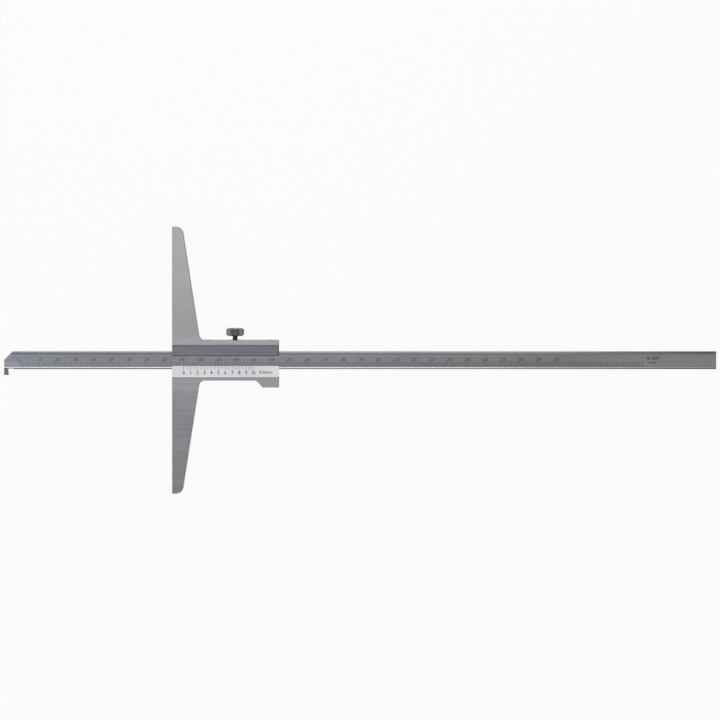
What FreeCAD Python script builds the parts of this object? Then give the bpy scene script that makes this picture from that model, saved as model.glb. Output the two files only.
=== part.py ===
import FreeCAD, Part
import Sketcher
import math
import os

# Hook depth gauge, 0 to 300 mm, lying on its back with the scale up.
# X runs along the beam with the hook at -X, Y along the base, Z up from the surface it lies on.
# The base face that rests on the workpiece looks towards -X. All sizes are millimetres.

doc = FreeCAD.newDocument("HookDepthGauge")

driving = {
    # Beam and hook
    "beamLength": 400.0,
    "beamWidth": 10.0,
    "beamThickness": 4.0,
    "beamEdgeBreak": 0.25,
    "upperRailWidth": 1.0,
    "lowerRailWidth": 0.6,
    "upperWallRun": 0.5,
    "lowerWallRun": 0.55,
    "scaleRecess": 0.3,
    "beamCornerCut": 4.85,
    "plainEndRadius": 0.3,
    "hookDrop": 3.35,
    "hookNeck": 2.1,
    "hookTip": 2.5,
    "hookTipRadius": 0.5,
    "hookReliefLength": 3.15,
    "hookReliefDepth": 0.25,
    # Reading shown, from the hook to the base face
    "reading": 91.9,
    # Base with its arms, and the slider
    "baseLength": 150.0,
    "frameThickness": 8.0,
    "armRootWidth": 15.5,
    "armTipWidth": 5.7,
    "armTipRadius": 4.1,
    "armRootFillet": 3.0,
    "sliderLength": 60.0,
    "sliderHeight": 23.0,
    "footFlat": 9.1,
    "footSlope": 3.5,
    "footDrop": 3.9,
    "footInnerFillet": 3.0,
    "footOuterFillet": 1.2,
    "cornerRadius": 0.5,
    "edgeBreak": 0.3,
    # Channel, window and the two bevels of the slider's front
    "beamPlay": 0.05,
    "upperRimWidth": 2.9,
    "lowerRimWidth": 2.1,
    "windowAbove": 2.45,
    "windowBelow": 3.25,
    "bevelEdge": 0.35,
    "bevelNose": 0.3,
    # Leaf that presses on the beam, and its slot
    "slotEndWeb": 2.0,
    "slotDepth": 0.75,
    "slotHeight": 3.4,
    "leafThickness": 0.3,
    "leafEndPlay": 0.3,
    "leafPlay": 0.03,
    # Lock screw
    "lockScrewAt": 35.3,
    "lockHeadDiameter": 10.0,
    "lockHeadHeight": 4.5,
    "lockHeadBevelRun": 1.0,
    "lockHeadBevelRise": 0.75,
    "lockStandoff": 2.1,
    "lockShankDiameter": 2.7,
    "lockPointDiameter": 1.7,
    "lockPointLength": 0.9,
    "knurlTeeth": 36,
    "knurlDepth": 0.35,
    "boreMouthBevel": 0.25,
    # Headless screws that set the leaf
    "gibScrewLeftAt": 20.6,
    "gibScrewRightInset": 4.7,
    "gibScrewDiameter": 2.0,
    "gibScrewSink": 0.5,
    "gibScrewBevel": 0.2,
    "gibScrewSlotWidth": 0.4,
    "gibScrewSlotDepth": 0.7,
    "threadPlay": 0.03,
}

sheet = doc.addObject("Spreadsheet::Sheet", "Sizes")
for row, (name, amount) in enumerate(driving.items(), start=1):
    sheet.set(f"A{row}", name)
    sheet.set(f"B{row}", str(amount))
    sheet.setAlias(f"B{row}", name)
doc.recompute()

# Lengths that follow from the driving sizes, as expressions on the sheet
halfBase = "Sizes.baseLength / 2"
halfSlider = "Sizes.sliderHeight / 2"
halfBeam = "Sizes.beamWidth / 2"
halfChannel = f"({halfBeam} + Sizes.beamPlay)"
beamBack = "(Sizes.frameThickness - Sizes.beamThickness) / 2"
channelFront = f"({beamBack} + Sizes.beamThickness + Sizes.beamPlay)"
frameBack = "(Sizes.lockHeadDiameter - Sizes.frameThickness) / 2"
baseFaceX = "(-Sizes.beamLength / 2 + Sizes.hookTip + Sizes.reading)"
footStart = "(Sizes.sliderLength - Sizes.footFlat - Sizes.footSlope)"
footBottom = f"({halfSlider} + Sizes.footDrop)"
slotBack = f"({halfChannel} + Sizes.slotDepth)"
leafCrown = f"({halfBeam} + Sizes.leafPlay)"
leafOuter = f"({slotBack} - Sizes.leafPlay)"
leafBow = f"({leafOuter} - Sizes.leafThickness - {leafCrown})"
leafHalfLength = "(Sizes.sliderLength / 2 - Sizes.slotEndWeb - Sizes.leafEndPlay)"
gibScrewRightAt = "(Sizes.sliderLength - Sizes.gibScrewRightInset)"

# How far an open side of a cut stands clear of the solid
overshoot = 1.0


def value(expression):
    """Number that an expression on the sheet stands for."""
    return float(sheet.evalExpression(str(expression)))


def bind(target, path, expression):
    """Tie a property or a constraint to the sheet."""
    target.setExpression(path, str(expression))


def newBody(name, x, y, z):
    """Body whose own origin sits at (x, y, z), each an expression."""
    body = doc.addObject("PartDesign::Body", name)
    body.Label = name
    bind(body, "Placement.Base.x", x)
    bind(body, "Placement.Base.y", y)
    bind(body, "Placement.Base.z", z)
    return body


def newSketch(body, name, plane, offset="0"):
    """Sketch on one of the body's own planes, moved along its normal by offset."""
    sketch = body.newObject("Sketcher::SketchObject", name)
    support = [item for item in body.Origin.OriginFeatures if item.Role == plane][0]
    sketch.AttachmentSupport = [(support, "")]
    sketch.MapMode = "FlatFace"
    bind(sketch, "AttachmentOffset.Base.z", offset)
    return sketch


def fixPoint(sketch, line, end, across, up):
    """Hold one point of a line or arc at the place that two expressions give."""
    for kind, axis, expression in (("DistanceX", -2, across), ("DistanceY", -1, up)):
        amount = value(expression)
        if abs(amount) < 1e-9:
            sketch.addConstraint(Sketcher.Constraint("PointOnObject", line, end, axis))
            continue
        number = sketch.addConstraint(Sketcher.Constraint(kind, line, end, amount))
        bind(sketch, f"Constraints[{number}]", expression)


def drawPolygon(sketch, corners):
    """Closed outline through corners, each a pair of expressions."""
    spots = [FreeCAD.Vector(value(across), value(up), 0) for across, up in corners]
    count = len(spots)
    for number in range(count):
        sketch.addGeometry(Part.LineSegment(spots[number], spots[(number + 1) % count]), False)
    for number in range(count):
        following = (number + 1) % count
        sketch.addConstraint(Sketcher.Constraint("Coincident", number, 2, following, 1))
    for number, (across, up) in enumerate(corners):
        fixPoint(sketch, number, 1, across, up)


def drawCircle(sketch, across, up, diameter):
    """Circle with its centre and diameter tied to the sheet."""
    centre = FreeCAD.Vector(value(across), value(up), 0)
    sketch.addGeometry(Part.Circle(centre, FreeCAD.Vector(0, 0, 1), value(diameter) / 2), False)
    fixPoint(sketch, 0, 3, across, up)
    number = sketch.addConstraint(Sketcher.Constraint("Diameter", 0, value(diameter)))
    bind(sketch, f"Constraints[{number}]", diameter)


def pad(body, sketch, name, length):
    """Solid that grows from a sketch along its normal."""
    feature = body.newObject("PartDesign::Pad", name)
    feature.Profile = sketch
    bind(feature, "Length", length)
    doc.recompute()
    return feature


def pocket(body, sketch, name, length=None, backwards=False):
    """Cut from a sketch, to a length or right through both ways, checked by volume."""
    before = body.Tip.Shape.Volume
    feature = body.newObject("PartDesign::Pocket", name)
    feature.Profile = sketch
    if length is None:
        feature.Type = "ThroughAll"
        feature.SideType = "Symmetric"
    else:
        bind(feature, "Length", length)
        feature.Reversed = backwards
    doc.recompute()
    if feature.Shape.Volume > before - 1e-3:
        raise RuntimeError(f"{name} cuts nothing")
    return feature


def edgesAt(shape, spots):
    """Names of the edges that stand along Z at the given places."""
    names = []
    for number, edge in enumerate(shape.Edges, start=1):
        ends = [vertex.Point for vertex in edge.Vertexes]
        if len(ends) != 2 or abs(ends[0].z - ends[1].z) < 1e-6:
            continue
        for x, y in spots:
            if all(math.hypot(point.x - x, point.y - y) < 1e-4 for point in ends):
                names.append(f"Edge{number}")
    if len(names) != len(spots):
        raise RuntimeError("an upright edge is missing")
    return names


def roundUprights(body, name, radius, places):
    """Fillet on the edges that stand at the given places, each a pair of expressions."""
    base = body.Tip
    spots = [(value(x), value(y)) for x, y in places]
    feature = body.newObject("PartDesign::Fillet", name)
    feature.Base = (base, edgesAt(base.Shape, spots))
    bind(feature, "Radius", radius)
    doc.recompute()
    return feature


def facesFacing(shape, direction):
    """Names of the flat faces that look in a direction."""
    names = []
    for number, face in enumerate(shape.Faces, start=1):
        if face.Surface.TypeId != "Part::GeomPlane":
            continue
        if face.normalAt(0, 0).getAngle(direction) < 1e-4:
            names.append(f"Face{number}")
    return names


def makeFrame():
    """Base, arms and slider, ground from one blank."""
    body = newBody("frame", baseFaceX, "0", frameBack)

    outline = newSketch(body, "FrameOutline", "XY_Plane")
    drawPolygon(outline, [
        ("0", f"-{halfBase}"),
        ("Sizes.armTipWidth", f"-{halfBase}"),
        ("Sizes.armRootWidth", f"-{halfSlider}"),
        (footStart, f"-{halfSlider}"),
        (f"{footStart} + Sizes.footSlope", f"-{footBottom}"),
        ("Sizes.sliderLength", f"-{footBottom}"),
        ("Sizes.sliderLength", halfSlider),
        ("Sizes.armRootWidth", halfSlider),
        ("Sizes.armTipWidth", halfBase),
        ("0", halfBase),
    ])
    pad(body, outline, "FrameBlank", "Sizes.frameThickness")

    roundUprights(body, "ArmTips", "Sizes.armTipRadius", [
        ("Sizes.armTipWidth", f"-{halfBase}"),
        ("Sizes.armTipWidth", halfBase),
    ])
    roundUprights(body, "ArmRoots", "Sizes.armRootFillet", [
        ("Sizes.armRootWidth", f"-{halfSlider}"),
        ("Sizes.armRootWidth", halfSlider),
    ])
    roundUprights(body, "FootInside", "Sizes.footInnerFillet", [(footStart, f"-{halfSlider}")])
    roundUprights(body, "FootOutside", "Sizes.footOuterFillet", [
        (f"{footStart} + Sizes.footSlope", f"-{footBottom}"),
    ])
    roundUprights(body, "OuterCorners", "Sizes.cornerRadius", [
        ("0", f"-{halfBase}"),
        ("0", halfBase),
        ("Sizes.sliderLength", f"-{footBottom}"),
        ("Sizes.sliderLength", halfSlider),
    ])

    # Broken edges all round the front and the back
    blank = body.Tip
    up = FreeCAD.Vector(0, 0, 1)
    faces = facesFacing(blank.Shape, up) + facesFacing(blank.Shape, -up)
    broken = body.newObject("PartDesign::Chamfer", "BrokenEdges")
    broken.Base = (blank, faces)
    bind(broken, "Size", "Sizes.edgeBreak")
    doc.recompute()

    # Channel for the beam, with the window between two bevels that run out to thin edges,
    # the upper one with a steeper nose
    section = newSketch(body, "ChannelSection", "YZ_Plane")
    thinEdge = f"{channelFront} + Sizes.bevelEdge"
    clearOfFront = f"Sizes.frameThickness + {overshoot}"
    upperRim = f"{halfSlider} - Sizes.upperRimWidth"
    lowerRim = f"-({halfSlider} - Sizes.lowerRimWidth)"
    drawPolygon(section, [
        (f"-{halfChannel}", f"{beamBack} - Sizes.beamPlay"),
        (halfChannel, f"{beamBack} - Sizes.beamPlay"),
        (halfChannel, channelFront),
        ("Sizes.windowAbove", channelFront),
        ("Sizes.windowAbove + Sizes.bevelNose", thinEdge),
        (upperRim, "Sizes.frameThickness"),
        (upperRim, clearOfFront),
        (lowerRim, clearOfFront),
        (lowerRim, "Sizes.frameThickness"),
        ("-Sizes.windowBelow", thinEdge),
        ("-Sizes.windowBelow", channelFront),
        (f"-{halfChannel}", channelFront),
    ])
    pocket(body, section, "Channel")

    # Blind slot for the leaf, open towards the beam
    slot = newSketch(body, "LeafSlotSketch", "XY_Plane", "(Sizes.frameThickness - Sizes.slotHeight) / 2")
    drawPolygon(slot, [
        ("Sizes.slotEndWeb", halfBeam),
        ("Sizes.sliderLength - Sizes.slotEndWeb", halfBeam),
        ("Sizes.sliderLength - Sizes.slotEndWeb", slotBack),
        ("Sizes.slotEndWeb", slotBack),
    ])
    pocket(body, slot, "LeafSlot", "Sizes.slotHeight", True)

    # Screw holes from the upper edge down to the slot, each with a bevelled mouth
    holes = [
        ("LockBore", "Sizes.lockScrewAt", "Sizes.lockShankDiameter"),
        ("LeftGibBore", "Sizes.gibScrewLeftAt", "Sizes.gibScrewDiameter"),
        ("RightGibBore", gibScrewRightAt, "Sizes.gibScrewDiameter"),
    ]
    for name, across, diameter in holes:
        bore = newSketch(body, f"{name}Sketch", "XZ_Plane", f"-{halfSlider}")
        drawCircle(bore, across, "Sizes.frameThickness / 2", f"{diameter} + 2 * Sizes.threadPlay")
        pocket(body, bore, name, f"{halfSlider} - {slotBack} + Sizes.slotDepth / 2", True)
    drilled = body.Tip
    mouths = []
    for number, edge in enumerate(drilled.Shape.Edges, start=1):
        isRing = edge.Curve.TypeId == "Part::GeomCircle" and len(edge.Vertexes) == 1
        if isRing and abs(edge.Curve.Center.y - value(halfSlider)) < 1e-4:
            mouths.append(f"Edge{number}")
    bevel = body.newObject("PartDesign::Chamfer", "BoreMouths")
    bevel.Base = (drilled, mouths)
    bind(bevel, "Size", "Sizes.boreMouthBevel")
    doc.recompute()
    return body


def makeBeam():
    """Graduated beam with its hook, local X counted from the hook end."""
    body = newBody("beam", "-Sizes.beamLength / 2", "0", f"{frameBack} + {beamBack}")

    section = newSketch(body, "BeamSection", "YZ_Plane")
    recess = "Sizes.beamThickness - Sizes.scaleRecess"
    front = "Sizes.beamThickness"
    drawPolygon(section, [
        (f"-{halfBeam} + Sizes.beamEdgeBreak", "0"),
        (f"{halfBeam} - Sizes.beamEdgeBreak", "0"),
        (halfBeam, "Sizes.beamEdgeBreak"),
        (halfBeam, f"{front} - Sizes.beamEdgeBreak"),
        (f"{halfBeam} - Sizes.beamEdgeBreak", front),
        (f"{halfBeam} - Sizes.upperRailWidth", front),
        (f"{halfBeam} - Sizes.upperRailWidth - Sizes.upperWallRun", recess),
        (f"-{halfBeam} + Sizes.lowerRailWidth + Sizes.lowerWallRun", recess),
        (f"-{halfBeam} + Sizes.lowerRailWidth", front),
        (f"-{halfBeam} + Sizes.beamEdgeBreak", front),
        (f"-{halfBeam}", f"{front} - Sizes.beamEdgeBreak"),
        (f"-{halfBeam}", "Sizes.beamEdgeBreak"),
    ])
    pad(body, section, "BeamBar", "Sizes.beamLength")

    # Relief in the beam's edge, beside where the hook stands
    relief = newSketch(body, "HookReliefSketch", "XY_Plane")
    reliefEnd = "Sizes.hookNeck + Sizes.hookReliefLength"
    drawPolygon(relief, [
        (f"-{overshoot}", f"-{halfBeam} - {overshoot}"),
        (reliefEnd, f"-{halfBeam} - {overshoot}"),
        (reliefEnd, f"-{halfBeam} + Sizes.hookReliefDepth"),
        (f"-{overshoot}", f"-{halfBeam} + Sizes.hookReliefDepth"),
    ])
    pocket(body, relief, "HookRelief")

    # Hook, full thickness, with an inner face that leans out to its tip
    hook = newSketch(body, "HookOutline", "XY_Plane")
    hookRoot = f"-{halfBeam} + Sizes.lowerRailWidth"
    hookEnd = f"-{halfBeam} - Sizes.hookDrop"
    drawPolygon(hook, [
        ("0", hookRoot),
        ("0", hookEnd),
        ("Sizes.hookTip", hookEnd),
        ("Sizes.hookNeck", f"-{halfBeam} + Sizes.hookReliefDepth"),
        ("Sizes.hookNeck", hookRoot),
    ])
    pad(body, hook, "Hook", "Sizes.beamThickness")
    roundUprights(body, "HookTip", "Sizes.hookTipRadius", [("0", hookEnd), ("Sizes.hookTip", hookEnd)])

    # Corner cut off above the hook
    corner = newSketch(body, "CornerCutSketch", "XY_Plane")
    drawPolygon(corner, [
        (f"-{overshoot}", f"{halfBeam} - Sizes.beamCornerCut - {overshoot}"),
        (f"Sizes.beamCornerCut + {overshoot}", f"{halfBeam} + {overshoot}"),
        (f"-{overshoot}", f"{halfBeam} + {overshoot}"),
    ])
    pocket(body, corner, "CornerCut")
    roundUprights(body, "PlainEnd", "Sizes.plainEndRadius", [
        ("Sizes.beamLength", f"-{halfBeam}"),
        ("Sizes.beamLength", halfBeam),
    ])
    return body


def makeGibSpring():
    """Bowed leaf: its crown bears on the beam and its ends on the back of the slot."""
    body = newBody("gib_spring", f"{baseFaceX} + Sizes.sliderLength / 2", "0",
                   f"{frameBack} + Sizes.frameThickness / 2")
    bendRadius = f"(({leafHalfLength} ^ 2 + {leafBow} ^ 2) / (2 * {leafBow}))"
    centreUp = f"{leafCrown} + {bendRadius}"
    centre = FreeCAD.Vector(0, value(centreUp), 0)
    sketch = newSketch(body, "LeafOutline", "XY_Plane")
    straightDown = -math.pi / 2
    for radius in (bendRadius, f"{bendRadius} - Sizes.leafThickness"):
        reach = math.asin(value(leafHalfLength) / value(radius))
        circle = Part.Circle(centre, FreeCAD.Vector(0, 0, 1), value(radius))
        arc = Part.ArcOfCircle(circle, straightDown - reach, straightDown + reach)
        number = sketch.addGeometry(arc, False)
        held = sketch.addConstraint(Sketcher.Constraint("Radius", number, value(radius)))
        bind(sketch, f"Constraints[{held}]", radius)
        fixPoint(sketch, number, 3, "0", centreUp)
        for end, across in ((1, f"-{leafHalfLength}"), (2, leafHalfLength)):
            held = sketch.addConstraint(Sketcher.Constraint("DistanceX", number, end, value(across)))
            bind(sketch, f"Constraints[{held}]", across)
    for end in (1, 2):
        spots = [sketch.getPoint(arc, end) for arc in (0, 1)]
        line = sketch.addGeometry(Part.LineSegment(*spots), False)
        sketch.addConstraint(Sketcher.Constraint("Coincident", line, 1, 0, end))
        sketch.addConstraint(Sketcher.Constraint("Coincident", line, 2, 1, end))
    leaf = pad(body, sketch, "Leaf", "Sizes.slotHeight - 2 * Sizes.leafPlay")
    leaf.SideType = "Symmetric"
    doc.recompute()
    return body


def turned(body, name, corners):
    """Solid of revolution about the body's own Y axis, from a profile of (radius, height) pairs."""
    profile = newSketch(body, f"{name}Profile", "XY_Plane")
    drawPolygon(profile, corners)
    feature = body.newObject("PartDesign::Revolution", name)
    feature.Profile = profile
    feature.ReferenceAxis = (profile, ["V_Axis"])
    feature.Angle = 360
    doc.recompute()
    return feature


def makeGibScrew(name, at):
    """Headless screw, slotted, whose cone point sets the leaf. at is counted from the base face."""
    body = newBody(name, f"{baseFaceX} + {at}", f"{halfSlider} - Sizes.gibScrewSink",
                   f"{frameBack} + Sizes.frameThickness / 2")
    alongLeaf = f"(({at} - Sizes.sliderLength / 2) / {leafHalfLength})"
    leafTop = f"({leafCrown} + Sizes.leafThickness + {leafBow} * {alongLeaf} ^ 2)"
    tip = f"-({halfSlider} - Sizes.gibScrewSink - {leafTop} - Sizes.leafPlay)"
    radius = "Sizes.gibScrewDiameter / 2"
    turned(body, f"{name}Turned", [
        ("0", "0"),
        (f"{radius} - Sizes.gibScrewBevel", "0"),
        (radius, "-Sizes.gibScrewBevel"),
        (radius, f"{tip} + {radius} / 2"),
        (f"{radius} / 2", tip),
        ("0", tip),
    ])
    slot = newSketch(body, f"{name}SlotSketch", "XY_Plane")
    halfWidth = "Sizes.gibScrewSlotWidth / 2"
    drawPolygon(slot, [
        (f"-{halfWidth}", "-Sizes.gibScrewSlotDepth"),
        (halfWidth, "-Sizes.gibScrewSlotDepth"),
        (halfWidth, overshoot),
        (f"-{halfWidth}", overshoot),
    ])
    pocket(body, slot, f"{name}Slot")
    return body


def makeLockScrew():
    """Knurled head and shank, turned in one piece. Local Y runs along the axis from under the head."""
    body = newBody("lock_screw", f"{baseFaceX} + Sizes.lockScrewAt", f"{halfSlider} + Sizes.lockStandoff",
                   f"{frameBack} + Sizes.frameThickness / 2")
    head = "Sizes.lockHeadDiameter / 2"
    shank = "Sizes.lockShankDiameter / 2"
    point = "Sizes.lockPointDiameter / 2"
    reach = f"{halfSlider} + Sizes.lockStandoff - {leafCrown} - Sizes.leafThickness - Sizes.leafPlay"
    tip = f"-({reach})"
    turned(body, "ScrewTurned", [
        ("0", tip),
        (point, tip),
        (point, f"{tip} + Sizes.lockPointLength"),
        (shank, f"{tip} + Sizes.lockPointLength + {shank} - {point}"),
        (shank, "0"),
        (f"{head} - Sizes.lockHeadBevelRun", "0"),
        (head, "Sizes.lockHeadBevelRise"),
        (head, "Sizes.lockHeadHeight - Sizes.lockHeadBevelRise"),
        (f"{head} - Sizes.lockHeadBevelRun", "Sizes.lockHeadHeight"),
        ("0", "Sizes.lockHeadHeight"),
    ])
    notch = newSketch(body, "KnurlNotchSketch", "XZ_Plane")
    halfMouth = f"(Sizes.knurlDepth + {overshoot})"
    drawPolygon(notch, [
        (f"{head} - Sizes.knurlDepth", "0"),
        (f"{head} + {overshoot}", f"-{halfMouth}"),
        (f"{head} + {overshoot}", halfMouth),
    ])
    cut = pocket(body, notch, "KnurlNotch")
    knurl = body.newObject("PartDesign::PolarPattern", "Knurl")
    knurl.Originals = [cut]
    knurl.Axis = ([item for item in body.Origin.OriginFeatures if item.Role == "Y_Axis"][0], [""])
    knurl.Angle = 360
    bind(knurl, "Occurrences", "Sizes.knurlTeeth")
    body.Tip = knurl
    doc.recompute()
    return body


bodies = [
    makeFrame(),
    makeBeam(),
    makeGibSpring(),
    makeGibScrew("gib_screw_left", "Sizes.gibScrewLeftAt"),
    makeGibScrew("gib_screw_right", gibScrewRightAt),
    makeLockScrew(),
]
doc.recompute()

for item in doc.Objects:
    if "Invalid" in item.State or "Error" in item.State:
        raise RuntimeError(f"{item.Label} failed: {item.State}")
for body in bodies:
    if body.Shape.isNull() or not body.Shape.isValid():
        raise RuntimeError(f"{body.Label} has no sound shape")

os.makedirs("parts", exist_ok=True)
for body in bodies:
    body.Shape.exportStep(f"parts/{body.Label}.step")
    box = body.Shape.BoundBox
    print(body.Label, len(body.Shape.Solids), "solid,", round(body.Shape.Volume, 1), "mm3, x",
          round(box.XMin, 2), round(box.XMax, 2), "y", round(box.YMin, 2), round(box.YMax, 2),
          "z", round(box.ZMin, 2), round(box.ZMax, 2))
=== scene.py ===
import math
import bmesh
import bpy
from mathutils import Matrix, Vector


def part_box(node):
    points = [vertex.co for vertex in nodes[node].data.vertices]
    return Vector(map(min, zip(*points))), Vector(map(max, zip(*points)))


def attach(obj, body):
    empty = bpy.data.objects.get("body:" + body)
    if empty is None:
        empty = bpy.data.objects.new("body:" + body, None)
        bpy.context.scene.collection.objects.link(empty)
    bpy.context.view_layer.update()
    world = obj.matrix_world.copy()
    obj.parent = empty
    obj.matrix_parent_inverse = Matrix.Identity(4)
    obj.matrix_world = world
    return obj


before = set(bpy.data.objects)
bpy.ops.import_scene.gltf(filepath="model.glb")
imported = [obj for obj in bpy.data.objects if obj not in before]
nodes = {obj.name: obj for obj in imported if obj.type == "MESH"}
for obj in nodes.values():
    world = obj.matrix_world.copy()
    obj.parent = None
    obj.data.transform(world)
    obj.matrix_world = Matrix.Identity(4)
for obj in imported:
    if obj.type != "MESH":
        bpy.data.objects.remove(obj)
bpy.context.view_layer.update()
mm = 0.001
degree = math.pi / 180

# Places that the rest is worked out from, in metres
frameLow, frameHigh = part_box("frame")
beamLow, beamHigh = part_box("beam")
screwLow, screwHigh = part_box("lock_screw")
baseFace = frameLow.x
hookEnd = beamLow.x
beamWidth = 10 * mm     # without the hook
gibSink = 0.5 * mm      # how deep the gib screws are sunk
beamEdge = beamHigh.y - beamWidth    # lower edge of the beam, the hook stands out past it
screwAxis = Vector(((screwLow.x + screwHigh.x) / 2, 0, (screwLow.z + screwHigh.z) / 2))
screwAxes = [sum(corner.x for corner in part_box(name)) / 2
             for name in ("gib_screw_left", "lock_screw", "gib_screw_right")]
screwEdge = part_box("gib_screw_left")[1].y + gibSink    # the slider's upper edge
print("frame loaded, beam", round((beamHigh.x - beamLow.x) / mm, 1), "mm long")


# Materials

def newMaterial(name):
    material = bpy.data.materials.new(name)
    material.use_nodes = True
    tree = material.node_tree
    tree.nodes.clear()
    output = tree.nodes.new("ShaderNodeOutputMaterial")
    shader = tree.nodes.new("ShaderNodeBsdfPrincipled")
    tree.links.new(shader.outputs["BSDF"], output.inputs["Surface"])
    return material, tree, shader


def stretchedNoise(tree, scale, detail, roughness):
    # noise on Object coordinates, scale is per metre along X, Y and Z
    place = tree.nodes.new("ShaderNodeTexCoord")
    mapping = tree.nodes.new("ShaderNodeMapping")
    mapping.inputs["Scale"].default_value = scale
    noise = tree.nodes.new("ShaderNodeTexNoise")
    noise.inputs["Scale"].default_value = 1.0
    noise.inputs["Detail"].default_value = detail
    noise.inputs["Roughness"].default_value = roughness
    tree.links.new(place.outputs["Object"], mapping.inputs["Vector"])
    tree.links.new(mapping.outputs["Vector"], noise.inputs["Vector"])
    return noise.outputs["Fac"]


def mapped(tree, source, low, high, fromLow=0.3, fromHigh=0.7):
    node = tree.nodes.new("ShaderNodeMapRange")
    node.inputs["From Min"].default_value = fromLow
    node.inputs["From Max"].default_value = fromHigh
    node.inputs["To Min"].default_value = low
    node.inputs["To Max"].default_value = high
    tree.links.new(source, node.inputs["Value"])
    return node.outputs["Result"]


def calculate(tree, operation, first, second=0.0):
    node = tree.nodes.new("ShaderNodeMath")
    node.operation = operation
    for socket, given in zip(node.inputs, (first, second)):
        if isinstance(given, (int, float)):
            socket.default_value = given
        else:
            tree.links.new(given, socket)
    return node.outputs["Value"]


def mixedColour(tree, share, first, second):
    node = tree.nodes.new("ShaderNodeMix")
    node.data_type = "RGBA"
    for socket, given in ((node.inputs[0], share), (node.inputs[6], first), (node.inputs[7], second)):
        if isinstance(given, tuple):
            socket.default_value = (*given, 1.0)
        else:
            tree.links.new(given, socket)
    return node.outputs[2]


def shaded(tree, colour, factor):
    # colour made lighter or darker by a factor near 1
    node = tree.nodes.new("ShaderNodeVectorMath")
    node.operation = "SCALE"
    if isinstance(colour, tuple):
        node.inputs[0].default_value = colour
    else:
        tree.links.new(colour, node.inputs[0])
    tree.links.new(factor, node.inputs["Scale"])
    return node.outputs["Vector"]


def addBump(tree, shader, height, strength, distance):
    bump = tree.nodes.new("ShaderNodeBump")
    bump.inputs["Strength"].default_value = strength
    bump.inputs["Distance"].default_value = distance
    tree.links.new(height, bump.inputs["Height"])
    tree.links.new(bump.outputs["Normal"], shader.inputs["Normal"])


def objectAxes(tree):
    place = tree.nodes.new("ShaderNodeTexCoord")
    split = tree.nodes.new("ShaderNodeSeparateXYZ")
    tree.links.new(place.outputs["Object"], split.inputs["Vector"])
    return split.outputs["X"], split.outputs["Y"], split.outputs["Z"]


def surfaceLean(tree):
    # X and Z parts of the surface's own direction
    geometry = tree.nodes.new("ShaderNodeNewGeometry")
    split = tree.nodes.new("ShaderNodeSeparateXYZ")
    tree.links.new(geometry.outputs["True Normal"], split.inputs["Vector"])
    return split.outputs["X"], split.outputs["Z"]


def between(tree, amount, low, high):
    # 1 where amount lies between low and high, else 0
    above = calculate(tree, "GREATER_THAN", amount, low)
    below = calculate(tree, "LESS_THAN", amount, high)
    return calculate(tree, "MULTIPLY", above, below)


groundLook = {
    "grain": (16.0, 1300.0, 1300.0),     # per metre, the grinding lines run along the beam
    "grainDetail": (4.0, 0.65),
    "grainShare": 0.11,                  # how far the lines change the colour
    "cloud": (22.0, 60.0, 60.0),         # wide patches
    "cloudDetail": (2.0, 0.5),
    "cloudShare": 0.05,
    "roughLow": 0.22,
    "roughHigh": 0.31,
    "satinRough": 0.13,                  # how much rougher the satin chrome of the scales is
    "bumpStrength": 0.15,
    "bumpDepth": 0.01 * mm,
}


def groundSteel(name, colour, look, recolour=None):
    # ground steel with fine grinding lines, recolour gives what changes from place to place
    material, tree, shader = newMaterial(name)
    grain = stretchedNoise(tree, look["grain"], *look["grainDetail"])
    cloud = stretchedNoise(tree, look["cloud"], *look["cloudDetail"])
    places = recolour(tree, colour) if recolour else {"colour": colour}
    lines = mapped(tree, grain, 1 - look["grainShare"], 1 + look["grainShare"])
    patches = mapped(tree, cloud, 1 - look["cloudShare"], 1 + look["cloudShare"])
    tone = shaded(tree, places["colour"], calculate(tree, "MULTIPLY", lines, patches))
    tree.links.new(tone, shader.inputs["Base Color"])
    rough = mapped(tree, grain, look["roughLow"], look["roughHigh"])
    if "satin" in places:
        extra = calculate(tree, "MULTIPLY", places["satin"], look["satinRough"])
        rough = calculate(tree, "ADD", rough, extra)
    tree.links.new(rough, shader.inputs["Roughness"])
    shader.inputs["Metallic"].default_value = 1.0
    if "bare" in places:
        tree.links.new(places["bare"], shader.inputs["Metallic"])
    addBump(tree, shader, grain, look["bumpStrength"], look["bumpDepth"])
    return material


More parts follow.
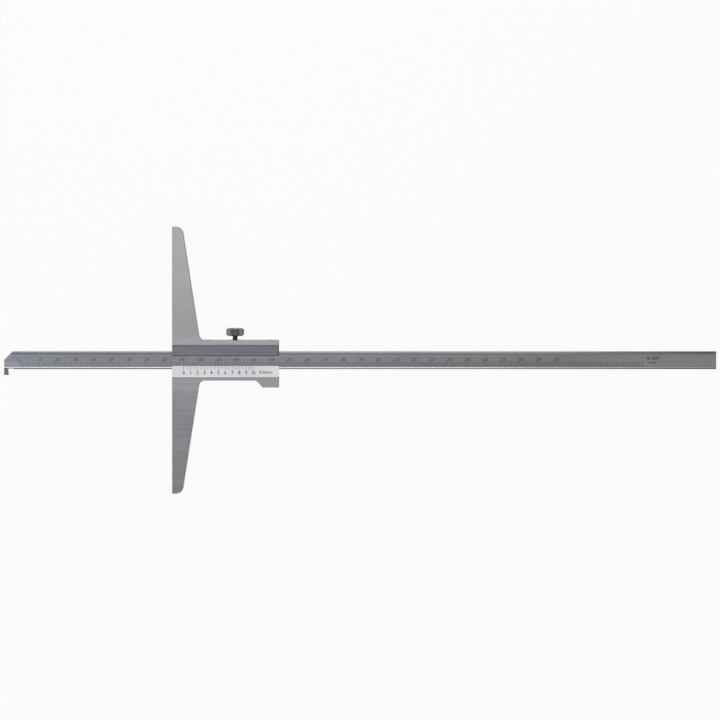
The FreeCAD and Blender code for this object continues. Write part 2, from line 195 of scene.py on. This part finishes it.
slider = {
    "vernierTop": -3.25 * mm,       # thin edge of the vernier's bevel
    "vernierBottom": -9.4 * mm,     # where the bevel meets the lower rim
    "lipThickness": 0.35 * mm,
    "play": 0.05 * mm,
    "colour": (0.405, 0.405, 0.406),
    "armPaintedShade": 0.9,                # painted shade: the arms are made darker than the slider
    "armTop": (11.3 * mm, 12.3 * mm),    # where that sets in above the slider
    "armBottom": (-15.0 * mm, -20.0 * mm),    # and below it
    "vernierColour": (0.67, 0.681, 0.698),
    "vernierFarPaintedLight": 1.13,        # painted light: brighter at the end away from the base face
    "vernierFarReach": 13.5 * mm,
    "vernierEdgeHighlight": (0.8, 0.8, 0.795),
    "vernierEdgeShades": (1.08, 0.92),    # painted highlight, shaded from the base face to the other end
    "edgeLine": 0.45 * mm,          # painted highlight, a brighter line along the bevel's lower border
    "planeSlack": 0.04 * mm,        # how far off the bevel's plane still counts as on it
    "bandSlack": 0.02 * mm,
    "edgeLean": (0.3, 0.995),       # upward part of the direction of bevels and broken edges
    "farLean": 0.3,                 # sideways part of those that lean away from the base face
    "screwShadeColour": (0.02, 0.02, 0.02),
    "screwShadeShare": 0.6,                # how dark the painted shade on the edge in front of a screw hole is
    "screwShadeFull": 1.1 * mm,            # along the slider's edge from the screw's axis, darkest to here
    "screwShadeReach": 2.2 * mm,           # and gone here
    "screwShadeDepth": 0.4 * mm,           # in from the slider's edge, and down from its front
    "screwShadeSlack": 0.1 * mm,
    "farEdgePaintedShade": 0.45,           # painted shade on broken edges that lean away from the base face
    "upperRim": 8.6 * mm,           # lower border of the upper rim, where its bevel starts
    "creaseWidth": 0.5 * mm,
    "creaseSlack": 0.05 * mm,
    "creasePaintedShade": 0.75,            # painted shade along the top of that bevel
    "endWidth": 0.55 * mm,
    "endPaintedShade": 0.4,                # and painted shade at its end away from the base face
}
lipZ = beamHigh.z + slider["play"] + slider["lipThickness"]
bevelRun = slider["vernierTop"] - slider["vernierBottom"]
bevelAngle = math.atan2(frameHigh.z - lipZ, bevelRun)


def sliderTint(tree, colour):
    # satin chrome on the vernier's bevel only, found by its plane in the object's own axes
    x, y, z = objectAxes(tree)
    rise = calculate(tree, "SUBTRACT", z, lipZ)
    fromTop = calculate(tree, "SUBTRACT", slider["vernierTop"], y)
    slope = calculate(tree, "MULTIPLY", fromTop, math.tan(bevelAngle))
    offPlane = calculate(tree, "SUBTRACT", rise, slope)
    onPlane = between(tree, offPlane, -slider["planeSlack"], slider["planeSlack"])
    onBand = between(tree, y, slider["vernierBottom"], slider["vernierTop"] + slider["bandSlack"])
    # painted highlight along the bevel's lower border
    nearEdge = calculate(tree, "LESS_THAN", y, slider["vernierBottom"] + slider["edgeLine"])
    # painted light towards the vernier's far end
    farFrom = frameHigh.x - slider["vernierFarReach"]
    farPaintedLight = mapped(tree, x, 1.0, slider["vernierFarPaintedLight"], farFrom, frameHigh.x)
    edgeShade = mapped(tree, x, *slider["vernierEdgeShades"], baseFace, frameHigh.x)
    chrome = mixedColour(tree, nearEdge, shaded(tree, slider["vernierColour"], farPaintedLight),
                         shaded(tree, slider["vernierEdgeHighlight"], edgeShade))
    onVernier = calculate(tree, "MULTIPLY", onPlane, onBand)
    # painted shade on the arms above and below the slider
    upperArm = mapped(tree, y, 1.0, slider["armPaintedShade"], *slider["armTop"])
    lowerArm = mapped(tree, y, 1.0, slider["armPaintedShade"], *slider["armBottom"])
    tone = shaded(tree, colour, calculate(tree, "MULTIPLY", upperArm, lowerArm))
    tone = mixedColour(tree, onVernier, tone, chrome)
    # painted shade on broken edges leaning away from the base face, in the crease above the upper bevel and
    # at the bevel's end, found by how the surface leans
    leanX, leanZ = surfaceLean(tree)
    sloped = between(tree, leanZ, *slider["edgeLean"])
    farSide = calculate(tree, "GREATER_THAN", leanX, slider["farLean"])
    farEdge = calculate(tree, "MULTIPLY", sloped, farSide)
    creaseLow = slider["upperRim"] - slider["creaseWidth"]
    inCrease = between(tree, y, creaseLow, slider["upperRim"] + slider["creaseSlack"])
    crease = calculate(tree, "MULTIPLY", sloped, inCrease)
    atEnd = calculate(tree, "GREATER_THAN", x, frameHigh.x - slider["endWidth"])
    bevelEnd = calculate(tree, "MULTIPLY", calculate(tree, "MULTIPLY", sloped, atEnd),
                         between(tree, y, 0.0, slider["upperRim"]))
    for place, shade in ((farEdge, "farEdgePaintedShade"), (crease, "creasePaintedShade"), (bevelEnd, "endPaintedShade")):
        tone = shaded(tree, tone, mapped(tree, place, 1.0, slider[shade], 0.0, 1.0))
    # painted shade on the broken front edge at each screw hole
    atEdge = between(tree, y, screwEdge - slider["screwShadeDepth"], screwEdge + slider["screwShadeSlack"])
    atFront = calculate(tree, "GREATER_THAN", z, frameHigh.z - slider["screwShadeDepth"])
    atEdge = calculate(tree, "MULTIPLY", atEdge, atFront)
    for axisX in screwAxes:
        away = calculate(tree, "ABSOLUTE", calculate(tree, "SUBTRACT", x, axisX))
        screwShade = mapped(tree, away, slider["screwShadeShare"], 0.0, slider["screwShadeFull"], slider["screwShadeReach"])
        tone = mixedColour(tree, calculate(tree, "MULTIPLY", screwShade, atEdge), tone, slider["screwShadeColour"])
    return {"colour": tone, "satin": onVernier}


beamLook = {
    "railColour": (0.41, 0.412, 0.418),     # ground rails, edges and back
    "lowerRailShadedColour": (0.18, 0.18, 0.185), # painted shade: dark narrow rail between the bright slope and the lower edge
    "scaleColour": (0.325, 0.333, 0.352),   # satin face that carries the scale
    "middleColour": (0.3, 0.307, 0.303),    # the same face further along, painted darker and least blue
    "middleFrom": -20.0 * mm,               # where that change starts and ends along the beam
    "middleTo": 60.0 * mm,
    "plainColour": (0.39, 0.394, 0.372),    # and painted lighter at the plain end
    "plainFrom": 110.0 * mm,
    "plainTo": 185.0 * mm,
    "hookPaintedLight": 1.18,                      # painted light: the face brighter at the hook end
    "hookPaintedLightReach": 32.0 * mm,
    "sliderPaintedShade": 0.9,                      # and painted shade where the slider mostly stands
    "sliderPaintedShadeFrom": -180.0 * mm,
    "bandPaintedLight": 1.19,                      # painted light on the graduated band there too
    "bandTop": (-0.3 * mm, -1.2 * mm),
    "bandFrom": -125.0 * mm,
    "railPaintedShade": 0.5,                        # painted shade on the rails at the plain end
    "railPaintedShadeFrom": 115.0 * mm,
    "railHookShade": 0.8,                   # and painted shade on them left of the slider
    "lowerRailHookShade": 0.6,              # painted shade, the lower rail darker still there
    "upperWall": (1.0 * mm, 1.5 * mm),      # slope above the scale, from the beam's upper edge, with a painted highlight
    "upperWallPaintedLight": 1.3,
    "creaseWidth": 0.55 * mm,               # painted shade along the foot of that slope
    "creasePaintedShade": 0.84,
    "wallHighlightColour": (0.86, 0.865, 0.87),      # painted highlight: bright slope below the scale
    "hookShadedColour": (0.21, 0.21, 0.212),      # painted shade: the hook darker than the beam
    "recess": 0.3 * mm,
    "faceSlack": 0.02 * mm,                 # how far off the face still counts as on it
    "wallSlack": 0.01 * mm,
    "wallLow": 0.6 * mm,                    # the bright slope's borders, from the beam's lower edge
    "wallHigh": 1.06 * mm,
}
scaleZ = beamHigh.z - beamLook["recess"]


def beamTint(tree, colour):
    x, y, z = objectAxes(tree)
    look = beamLook
    slack = look["faceSlack"]
    onScale = between(tree, z, scaleZ - slack, scaleZ + slack)
    aboveScale = calculate(tree, "GREATER_THAN", z, scaleZ + slack)
    wallSide = calculate(tree, "SUBTRACT", y, beamEdge)
    wallFrom = look["wallLow"] - look["wallSlack"]
    wallTo = look["wallHigh"] + look["wallSlack"]
    onWall = calculate(tree, "MULTIPLY", aboveScale, between(tree, wallSide, wallFrom, wallTo))
    onHook = calculate(tree, "LESS_THAN", y, beamEdge - slack)
    # painted shade on the lower rail
    belowWall = calculate(tree, "LESS_THAN", wallSide, look["wallLow"])
    onLowerRail = calculate(tree, "MULTIPLY", aboveScale, belowWall)
    # painted shade on the rails, darker left of the slider and at the plain end
    lowerShade = mapped(tree, x, look["lowerRailHookShade"], 1.0, baseFace, frameHigh.x)
    rails = mixedColour(tree, onLowerRail, colour, shaded(tree, look["lowerRailShadedColour"], lowerShade))
    nearPlain = mapped(tree, x, 1.0, look["railPaintedShade"], look["railPaintedShadeFrom"], beamHigh.x)
    nearHook = mapped(tree, x, look["railHookShade"], 1.0, baseFace, frameHigh.x)
    rails = shaded(tree, rails, calculate(tree, "MULTIPLY", nearPlain, nearHook))
    fromTop = calculate(tree, "SUBTRACT", beamHigh.y, y)
    # painted highlight on the slope above the scale
    onUpperWall = calculate(tree, "MULTIPLY", aboveScale, between(tree, fromTop, *look["upperWall"]))
    rails = shaded(tree, rails, mapped(tree, onUpperWall, 1.0, look["upperWallPaintedLight"], 0.0, 1.0))
    # the scale's face is painted lighter and darker slowly along the beam
    middle = mapped(tree, x, 0.0, 1.0, look["middleFrom"], look["middleTo"])
    plain = mapped(tree, x, 0.0, 1.0, look["plainFrom"], look["plainTo"])
    face = mixedColour(tree, middle, look["scaleColour"], look["middleColour"])
    face = mixedColour(tree, plain, face, look["plainColour"])
    # painted light on the face at the hook end
    shine = mapped(tree, x, look["hookPaintedLight"], 1.0, hookEnd, hookEnd + look["hookPaintedLightReach"])
    # painted shade on the face where the slider mostly stands
    sliderShadeIn = mapped(tree, x, 1.0, look["sliderPaintedShade"], look["sliderPaintedShadeFrom"], baseFace)
    sliderShadeOut = mapped(tree, x, 0.0, 1.0 - look["sliderPaintedShade"], baseFace, frameHigh.x)
    paintedFaceLight = calculate(tree, "MULTIPLY", shine, calculate(tree, "ADD", sliderShadeIn, sliderShadeOut))
    # painted light on the graduated band
    inBand = mapped(tree, y, 0.0, 1.0, *look["bandTop"])
    bandGain = mapped(tree, x, look["bandPaintedLight"] - 1.0, 0.0, look["bandFrom"], frameHigh.x)
    band = calculate(tree, "ADD", calculate(tree, "MULTIPLY", inBand, bandGain), 1.0)
    paintedFaceLight = calculate(tree, "MULTIPLY", paintedFaceLight, band)
    # painted shade along the foot of the upper slope
    wallFoot = look["upperWall"][1]
    inCrease = between(tree, fromTop, wallFoot, wallFoot + look["creaseWidth"])
    paintedFaceLight = calculate(tree, "MULTIPLY", paintedFaceLight, mapped(tree, inCrease, 1.0, look["creasePaintedShade"], 0.0, 1.0))
    tone = mixedColour(tree, onScale, rails, shaded(tree, face, paintedFaceLight))
    # painted highlight on the slope below the scale
    tone = mixedColour(tree, onWall, tone, look["wallHighlightColour"])
    # painted shade on the hook
    return {"colour": mixedColour(tree, onHook, tone, look["hookShadedColour"]), "satin": onScale}


frameSteel = groundSteel("groundSteel", slider["colour"], groundLook, sliderTint)
beamSteel = groundSteel("beamSteel", beamLook["railColour"], groundLook, beamTint)

darkLook = dict(groundLook, grain=(900.0, 900.0, 900.0), grainShare=0.18,
                cloud=(420.0, 160.0, 420.0), cloudShare=0.3, roughLow=0.26, roughHigh=0.42)
screwLook = {
    "headColour": (0.29, 0.275, 0.268),
    "shankColour": (0.05, 0.048, 0.05),     # near black on the thread below the head
    "headBottom": 13.62 * mm,
}


def screwTint(tree, colour):
    along = objectAxes(tree)[1]
    below = calculate(tree, "LESS_THAN", along, screwLook["headBottom"])
    bare = calculate(tree, "SUBTRACT", 1.0, below)
    return {"colour": mixedColour(tree, below, colour, screwLook["shankColour"]), "bare": bare}


screwSteel = groundSteel("blackenedSteel", screwLook["headColour"], darkLook, screwTint)
springLook = {"colour": (0.62, 0.42, 0.2)}
springBronze = groundSteel("springBronze", springLook["colour"], groundLook)

inkLook = {
    "colour": (0.035, 0.036, 0.045),
    "roughness": 0.6,
    "speckle": (2500.0, 2500.0, 2500.0),
    "speckleDetail": (2.0, 0.5),
    "speckleShades": (0.7, 1.4),
}


def inkMaterial(look):
    # dark filling of the engraved lines and figures, a little uneven
    material, tree, shader = newMaterial("scaleInk")
    speckle = stretchedNoise(tree, look["speckle"], *look["speckleDetail"])
    tone = shaded(tree, look["colour"], mapped(tree, speckle, *look["speckleShades"]))
    tree.links.new(tone, shader.inputs["Base Color"])
    shader.inputs["Roughness"].default_value = look["roughness"]
    return material


scaleInk = inkMaterial(inkLook)

for nodeName, material in (("frame", frameSteel), ("beam", beamSteel), ("lock_screw", screwSteel),
                           ("gib_screw_left", screwSteel), ("gib_screw_right", screwSteel),
                           ("gib_spring", springBronze)):
    data = nodes[nodeName].data
    data.materials.clear()
    data.materials.append(material)
print("materials made")


# Geometry Nodes helpers

def newTree(name, inputs):
    tree = bpy.data.node_groups.new(name, "GeometryNodeTree")
    tree.interface.new_socket("Geometry", in_out="INPUT", socket_type="NodeSocketGeometry")
    for label, kind in inputs:
        tree.interface.new_socket(label, in_out="INPUT", socket_type=f"NodeSocket{kind}")
    tree.interface.new_socket("Geometry", in_out="OUTPUT", socket_type="NodeSocketGeometry")
    return tree, tree.nodes.new("NodeGroupInput"), tree.nodes.new("NodeGroupOutput")


def addNode(tree, kind, links=None, **settings):
    node = tree.nodes.new(kind)
    for key, given in settings.items():
        setattr(node, key, given)
    for key, given in (links or {}).items():
        if isinstance(given, bpy.types.NodeSocket):
            tree.links.new(given, node.inputs[key])
        else:
            node.inputs[key].default_value = given
    return node


def grow(name, tree, given):
    # runs a tree on an empty mesh and keeps the result as a plain mesh object
    piece = bpy.data.objects.new(name, bpy.data.meshes.new(name))
    bpy.context.scene.collection.objects.link(piece)
    modifier = piece.modifiers.new("grow", "NODES")
    modifier.node_group = tree
    for item in tree.interface.items_tree:
        if item.item_type == "SOCKET" and item.in_out == "INPUT" and item.name in given:
            modifier[item.identifier] = given[item.name]
    bpy.context.view_layer.update()
    evaluated = piece.evaluated_get(bpy.context.evaluated_depsgraph_get())
    grown = bpy.data.meshes.new_from_object(evaluated)
    piece.modifiers.remove(modifier)
    piece.data = grown
    grown.name = name
    return piece


standing = 0.5    # lines that stand on their foot
hanging = -0.5    # and lines that hang from it


def graduationTree():
    # upright lines along X, longer at every so many, each a thin slab on the plane z = 0
    tree, source, result = newTree("graduations", [
        ("Count", "Int"), ("Start", "Float"), ("Pitch", "Float"), ("Foot", "Float"),
        ("Short", "Float"), ("Medium", "Float"), ("Long", "Float"),
        ("Medium Every", "Float"), ("Long Every", "Float"), ("Side", "Float"),
        ("Line Width", "Float"), ("Line Height", "Float"), ("Ink", "Material"),
    ])
    get = source.outputs
    start = addNode(tree, "ShaderNodeCombineXYZ", {"X": get["Start"], "Y": get["Foot"]})
    step = addNode(tree, "ShaderNodeCombineXYZ", {"X": get["Pitch"]})
    row = addNode(tree, "GeometryNodeMeshLine",
                  {"Count": get["Count"], "Start Location": start.outputs[0], "Offset": step.outputs[0]})
    index = addNode(tree, "GeometryNodeInputIndex")

    def falls(every):
        rest = addNode(tree, "ShaderNodeMath", {0: index.outputs[0], 1: every}, operation="MODULO")
        isFirst = addNode(tree, "ShaderNodeMath", {0: rest.outputs[0], 1: 0.5}, operation="LESS_THAN")
        return isFirst.outputs[0]

    isMedium = addNode(tree, "GeometryNodeSwitch",
                       {"Switch": falls(get["Medium Every"]), "False": get["Short"], "True": get["Medium"]},
                       input_type="FLOAT")
    isLong = addNode(tree, "GeometryNodeSwitch",
                     {"Switch": falls(get["Long Every"]), "False": isMedium.outputs[0],
                      "True": get["Long"]},
                     input_type="FLOAT")
    size = addNode(tree, "ShaderNodeCombineXYZ",
                   {"X": get["Line Width"], "Y": isLong.outputs[0], "Z": get["Line Height"]})
    half = addNode(tree, "ShaderNodeMath", {0: isLong.outputs[0], 1: get["Side"]}, operation="MULTIPLY")
    lift = addNode(tree, "ShaderNodeCombineXYZ", {"Y": half.outputs[0]})
    placed = addNode(tree, "GeometryNodeSetPosition",
                     {"Geometry": row.outputs[0], "Offset": lift.outputs[0]})
    line = addNode(tree, "GeometryNodeMeshCube", {"Size": (1.0, 1.0, 1.0)})
    spread = addNode(tree, "GeometryNodeInstanceOnPoints",
                     {"Points": placed.outputs[0], "Instance": line.outputs[0], "Scale": size.outputs[0]})
    real = addNode(tree, "GeometryNodeRealizeInstances", {"Geometry": spread.outputs[0]})
    inked = addNode(tree, "GeometryNodeSetMaterial",
                    {"Geometry": real.outputs[0], "Material": get["Ink"]})
    tree.links.new(inked.outputs[0], result.inputs[0])
    return tree


letters = {
    "capShare": 0.73,          # height of a figure as a share of the font's size
    "thickness": 0.03 * mm,    # half of it stands out of the face
    "curveSteps": 3,
    "weld": 0.0005 * mm,
}


def figures(name, words, look):
    # words is a list of (text, x, y), joined into one mesh of thin slabs on the plane z = 0
    joined = bmesh.new()
    for text, x, y in words:
        curve = bpy.data.curves.new(name, "FONT")
        curve.body = text
        curve.size = look["height"] / letters["capShare"]
        curve.align_x = "CENTER"
        curve.align_y = "BOTTOM_BASELINE"
        curve.extrude = letters["thickness"] / 2
        curve.offset = look["weight"]
        curve.resolution_u = letters["curveSteps"]
        curve.space_character = look["spacing"]
        carrier = bpy.data.objects.new(name, curve)
        bpy.context.scene.collection.objects.link(carrier)
        bpy.context.view_layer.update()
        evaluated = carrier.evaluated_get(bpy.context.evaluated_depsgraph_get())
        mesh = bpy.data.meshes.new_from_object(evaluated)
        mesh.transform(Matrix.Translation((x, y, 0)) @ Matrix.Diagonal((look["squeeze"], 1, 1, 1)))
        joined.from_mesh(mesh)
        bpy.data.objects.remove(carrier)
        bpy.data.meshes.remove(mesh)
    bmesh.ops.remove_doubles(joined, verts=joined.verts, dist=letters["weld"])
    bmesh.ops.recalc_face_normals(joined, faces=joined.faces)    # a weighted 4 has its inner wall reversed
    mesh = bpy.data.meshes.new(name)
    joined.to_mesh(mesh)
    joined.free()
    mesh.materials.append(scaleInk)
    piece = bpy.data.objects.new(name, mesh)
    bpy.context.scene.collection.objects.link(piece)
    return piece


def placeMesh(piece, matrix, body):
    piece.data.transform(matrix)
    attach(piece, body)


# Main scale on the beam
scale = {
    "zero": 8.9 * mm,              # from the hook end to the zero line
    "lines": 351,
    "pitch": 1.0 * mm,
    "foot": -3.7 * mm,             # lower end of every line
    "short": 2.65 * mm,
    "medium": 3.1 * mm,
    "long": 3.7 * mm,
    "mediumEvery": 5.0,
    "longEvery": 10.0,
    "lineWidth": 0.21 * mm,
    "lineHeight": 0.03 * mm,       # half of it stands out of the face
    "numberStep": 10,
    "numbered": 300,               # last figure
    "figureBase": -0.62 * mm,
    "figureShift": 1.45 * mm,      # figures stand to the right of their line
    "zeroShift": -1.1 * mm,
    "figures": {"height": 1.9 * mm, "weight": 0.0, "spacing": 1.0, "squeeze": 0.82},
    "markX": 164.5 * mm,           # range and unit marks near the plain end
    "markBase": 0.2 * mm,
    "mark": {"height": 2.05 * mm, "weight": 0.03 * mm, "spacing": 1.0, "squeeze": 1.03},
    "unitBase": -1.95 * mm,
    "unit": {"height": 1.7 * mm, "weight": 0.03 * mm, "spacing": 1.25, "squeeze": 1.1},
}
graduations = graduationTree()
scaleFace = Matrix.Translation((0, 0, scaleZ))

scaleLines = grow("scale_lines", graduations, {
    "Count": scale["lines"], "Start": hookEnd + scale["zero"], "Pitch": scale["pitch"],
    "Foot": scale["foot"], "Short": scale["short"], "Medium": scale["medium"], "Long": scale["long"],
    "Medium Every": scale["mediumEvery"], "Long Every": scale["longEvery"], "Side": standing,
    "Line Width": scale["lineWidth"], "Line Height": scale["lineHeight"], "Ink": scaleInk,
})
placeMesh(scaleLines, scaleFace, "beam")

scaleWords = [("0", hookEnd + scale["zero"] + scale["zeroShift"], scale["figureBase"])]
for reading in range(scale["numberStep"], scale["numbered"] + 1, scale["numberStep"]):
    at = hookEnd + scale["zero"] + reading * mm + scale["figureShift"]
    scaleWords.append((str(reading), at, scale["figureBase"]))
placeMesh(figures("scale_figures", scaleWords, scale["figures"]), scaleFace, "beam")

rangeWords = [("0-300", scale["markX"], scale["markBase"])]
placeMesh(figures("range_mark", rangeWords, scale["mark"]), scaleFace, "beam")
unitWords = [("mm", scale["markX"], scale["unitBase"])]
placeMesh(figures("unit_mark", unitWords, scale["unit"]), scaleFace, "beam")
print("main scale made,", len(scaleLines.data.polygons), "faces in its lines")


# Vernier on the slider's lower bevel
vernier = {
    "zero": 6.4 * mm,              # from the base face
    "lines": 21,
    "pitch": 1.95 * mm,
    "short": 1.9 * mm,
    "long": 2.5 * mm,
    "longEvery": 2.0,              # the long lines are numbered
    "numbers": 11,
    "lineWidth": 0.2 * mm,
    "lineHeight": 0.03 * mm,
    "figureBase": -4.85 * mm,      # along the slope, from the bevel's thin edge
    "figureShift": 0.15 * mm,
    "resolution": 46.2 * mm,       # text, from the zero line
    "resolutionLift": 0.45 * mm,
    "figures": {"height": 2.0 * mm, "weight": 0.04 * mm, "spacing": 1.0, "squeeze": 0.88},
    "small": {"height": 1.7 * mm, "weight": 0.03 * mm, "spacing": 1.05, "squeeze": 0.95},
}
# local x runs along the vernier from its zero, local y up the slope towards the thin edge
vernierPlane = (Matrix.Translation((baseFace + vernier["zero"], slider["vernierTop"], lipZ))
                @ Matrix.Rotation(-bevelAngle, 4, "X"))
vernierLines = grow("vernier_lines", graduations, {
    "Count": vernier["lines"], "Start": 0.0, "Pitch": vernier["pitch"],
    "Foot": 0.0, "Short": vernier["short"], "Medium": vernier["short"], "Long": vernier["long"],
    "Medium Every": 1.0, "Long Every": vernier["longEvery"], "Side": hanging,
    "Line Width": vernier["lineWidth"], "Line Height": vernier["lineHeight"], "Ink": scaleInk,
})
placeMesh(vernierLines, vernierPlane, "base")

vernierWords = []
for number in range(vernier["numbers"]):
    at = number * vernier["longEvery"] * vernier["pitch"] + vernier["figureShift"]
    vernierWords.append((str(number), at, vernier["figureBase"]))
placeMesh(figures("vernier_figures", vernierWords, vernier["figures"]), vernierPlane, "base")
resolutionWords = [("0.05mm", vernier["resolution"], vernier["figureBase"] + vernier["resolutionLift"])]
placeMesh(figures("resolution_mark", resolutionWords, vernier["small"]), vernierPlane, "base")
print("vernier made")


# Thread that shows between the slider and the head
thread = {
    "pitch": 0.5 * mm,
    "radius": 1.33 * mm,
    "ridge": 0.13 * mm,
    "bottom": 11.55 * mm,
    "top": 13.55 * mm,
    "stepsPerTurn": 32,
    "profileCorners": 4,
}


def threadTree():
    # a helical ridge: a small profile swept along a spiral
    tree, source, result = newTree("thread", [
        ("Turns", "Float"), ("Radius", "Float"), ("Height", "Float"), ("Ridge", "Float"),
        ("Steel", "Material"),
    ])
    get = source.outputs
    spiral = addNode(tree, "GeometryNodeCurveSpiral",
                     {"Resolution": thread["stepsPerTurn"], "Rotations": get["Turns"],
                      "Start Radius": get["Radius"], "End Radius": get["Radius"],
                      "Height": get["Height"], "Reverse": True})
    profile = addNode(tree, "GeometryNodeCurvePrimitiveCircle",
                      {"Resolution": thread["profileCorners"], "Radius": get["Ridge"]}, mode="RADIUS")
    swept = addNode(tree, "GeometryNodeCurveToMesh",
                    {"Curve": spiral.outputs[0], "Profile Curve": profile.outputs[0], "Fill Caps": True})
    real = addNode(tree, "GeometryNodeRealizeInstances", {"Geometry": swept.outputs[0]})
    steel = addNode(tree, "GeometryNodeSetMaterial",
                    {"Geometry": real.outputs[0], "Material": get["Steel"]})
    tree.links.new(steel.outputs[0], result.inputs[0])
    return tree


threadHeight = thread["top"] - thread["bottom"]
lockThread = grow("lock_thread", threadTree(), {
    "Turns": threadHeight / thread["pitch"], "Radius": thread["radius"], "Height": threadHeight,
    "Ridge": thread["ridge"], "Steel": screwSteel,
})
threadPlace = (Matrix.Translation((screwAxis.x, thread["bottom"], screwAxis.z))
               @ Matrix.Rotation(-90 * degree, 4, "X"))
placeMesh(lockThread, threadPlace, "lock_screw")
print("thread made")


# Camera, straight above as in the photograph
shot = {
    "distance": 2.0,
    "width": 404.4 * mm,       # what the picture's width covers at the gauge's front
    "centre": (-0.1 * mm, 0.1 * mm),
    "sensor": 36.0,            # in millimetres, as a camera's own sizes are
    "clip": (0.01, 20.0),
}
camera = bpy.data.objects.new("camera", bpy.data.cameras.new("camera"))
bpy.context.scene.collection.objects.link(camera)
camera.location = (*shot["centre"], beamHigh.z + shot["distance"])
camera.data.sensor_width = shot["sensor"]
camera.data.lens = shot["sensor"] * shot["distance"] / shot["width"]
camera.data.clip_start, camera.data.clip_end = shot["clip"]
bpy.context.scene.camera = camera


# Floor and light
floorLook = {
    "size": 6.0,
    "colour": (0.92, 0.92, 0.92),
    "roughness": 0.9,
    "plainShare": 0.94,    # how much of it shows plain white, the rest keeps the shadow
}


def makeFloor(look):
    half = look["size"] / 2
    mesh = bpy.data.meshes.new("floor")
    corners = [(-half, -half, 0), (half, -half, 0), (half, half, 0), (-half, half, 0)]
    mesh.from_pydata(corners, [], [(0, 1, 2, 3)])
    floor = bpy.data.objects.new("floor", mesh)
    bpy.context.scene.collection.objects.link(floor)
    material, tree, shader = newMaterial("paleFloor")
    shader.inputs["Base Color"].default_value = (*look["colour"], 1.0)
    shader.inputs["Roughness"].default_value = look["roughness"]
    shader.inputs["Specular IOR Level"].default_value = 0.0
    glow = tree.nodes.new("ShaderNodeEmission")
    path = tree.nodes.new("ShaderNodeLightPath")
    seen = calculate(tree, "MAXIMUM", path.outputs["Is Camera Ray"], path.outputs["Is Glossy Ray"])
    seen = calculate(tree, "MAXIMUM", seen, path.outputs["Is Transmission Ray"])
    share = calculate(tree, "MULTIPLY", seen, look["plainShare"])
    mix = tree.nodes.new("ShaderNodeMixShader")
    tree.links.new(share, mix.inputs["Fac"])
    tree.links.new(shader.outputs["BSDF"], mix.inputs[1])
    tree.links.new(glow.outputs["Emission"], mix.inputs[2])
    output = [node for node in tree.nodes if node.type == "OUTPUT_MATERIAL"][0]
    tree.links.new(mix.outputs["Shader"], output.inputs["Surface"])
    mesh.materials.append(material)


makeFloor(floorLook)

sky = {
    "dark": (0.385, 0.4, 0.455),     # side towards -Y, below the gauge in the picture
    "middle": (0.50, 0.51, 0.54),
    "bright": (0.34, 0.34, 0.36),    # side towards +Y
    "horizonShare": 0.6,             # how much of that is left at the horizon
    "leftShare": 1.3,                # towards -X, and towards +X
    "rightShare": 0.7,
    "whiteBand": (0.1, 0.25),        # heights, as sines, over which the pale wall behind ends
    "fadeTop": 0.6,                  # height, as a sine, below which the sky fades to the horizon
    "rampEnds": (0.25, 0.75),
}


def makeWorld(look):
    world = bpy.data.worlds.new("studio")
    bpy.context.scene.world = world
    world.use_nodes = True
    tree = world.node_tree
    tree.nodes.clear()
    place = tree.nodes.new("ShaderNodeTexCoord")
    split = tree.nodes.new("ShaderNodeSeparateXYZ")
    tree.links.new(place.outputs["Generated"], split.inputs["Vector"])
    ramp = tree.nodes.new("ShaderNodeValToRGB")
    first, last = ramp.color_ramp.elements
    first.position, last.position = look["rampEnds"]
    first.color = (*look["dark"], 1)
    last.color = (*look["bright"], 1)
    ramp.color_ramp.elements.new(0.5).color = (*look["middle"], 1)
    tree.links.new(mapped(tree, split.outputs["Y"], 0.0, 1.0, -1.0, 1.0), ramp.inputs["Fac"])
    fade = mapped(tree, split.outputs["Z"], look["horizonShare"], 1.0, 0.0, look["fadeTop"])
    sideways = mapped(tree, split.outputs["X"], look["leftShare"], look["rightShare"], -1.0, 1.0)
    tone = shaded(tree, ramp.outputs["Color"], calculate(tree, "MULTIPLY", fade, sideways))
    # the pale wall that the camera sees behind the gauge shows in its metal too
    path = tree.nodes.new("ShaderNodeLightPath")
    wall = mapped(tree, split.outputs["Z"], 1.0, 0.0, *look["whiteBand"])
    mirrored = calculate(tree, "MAXIMUM",
                         path.outputs["Is Glossy Ray"], path.outputs["Is Transmission Ray"])
    mirroredWall = calculate(tree, "MULTIPLY", mirrored, wall)
    white = calculate(tree, "MAXIMUM", path.outputs["Is Camera Ray"], mirroredWall)
    colour = mixedColour(tree, white, tone, (1.0, 1.0, 1.0))
    background = tree.nodes.new("ShaderNodeBackground")
    output = tree.nodes.new("ShaderNodeOutputWorld")
    tree.links.new(colour, background.inputs["Color"])
    tree.links.new(background.outputs["Background"], output.inputs["Surface"])


makeWorld(sky)

softBox = {
    "aim": Vector((-0.1, 0.0, 0.0)),
    "distance": 0.65,
    "tilt": 33.0 * degree,       # from straight above towards +Y
    "width": 0.45,
    "depth": 0.83,
    "radiance": 0.82,
}


def makeSoftBox(look):
    lamp = bpy.data.lights.new("softBox", "AREA")
    lamp.shape = "RECTANGLE"
    lamp.size = look["width"]
    lamp.size_y = look["depth"]
    lamp.energy = look["radiance"] * math.pi * look["width"] * look["depth"]
    box = bpy.data.objects.new("softBox", lamp)
    bpy.context.scene.collection.objects.link(box)
    away = Vector((0, math.sin(look["tilt"]), math.cos(look["tilt"])))
    box.location = look["aim"] + away * look["distance"]
    box.rotation_euler = (-look["tilt"], 0, 0)
    box.visible_camera = False


makeSoftBox(softBox)
bpy.context.scene.view_settings.view_transform = "Standard"
print("camera, floor and light made")
